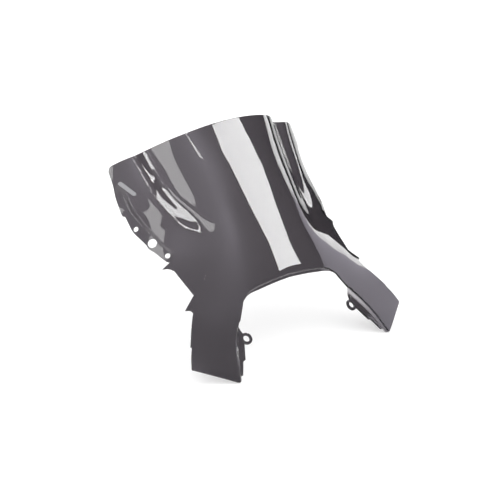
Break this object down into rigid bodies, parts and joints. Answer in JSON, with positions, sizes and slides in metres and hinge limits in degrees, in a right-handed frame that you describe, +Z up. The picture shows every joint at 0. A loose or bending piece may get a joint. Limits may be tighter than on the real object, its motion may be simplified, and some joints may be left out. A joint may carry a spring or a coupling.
{
  "type": "motorcycle windshield screen",
  "caption": "Smoked acrylic motorcycle screen with a raised centre bubble, flared wings with mounting flanges and two legs round a headlight cut-out.",
  "frame": {"origin": "under the middle of the bounding box, at the height of the lower corners of the legs", "axes": "+Z up, +X to the rider's left, -Y forwards, in the direction of travel"},
  "size_m": [0.413, 0.2847, 0.3287],
  "materials": {
    "smoked_acrylic": "polished smoked acrylic sheet",
    "decal": "plain vinyl decal"
  },
  "bodies": {
    "root": {"bubble": "smoked_acrylic", "wing_left": "smoked_acrylic", "wing_right": "smoked_acrylic", "wing_flange_left": "smoked_acrylic", "wing_flange_right": "smoked_acrylic", "leg_left": "smoked_acrylic", "leg_right": "smoked_acrylic", "leg_lip_left": "smoked_acrylic", "leg_lip_right": "smoked_acrylic", "arch_lip": "smoked_acrylic", "decal": "decal"}
  },
  "joints": []
}
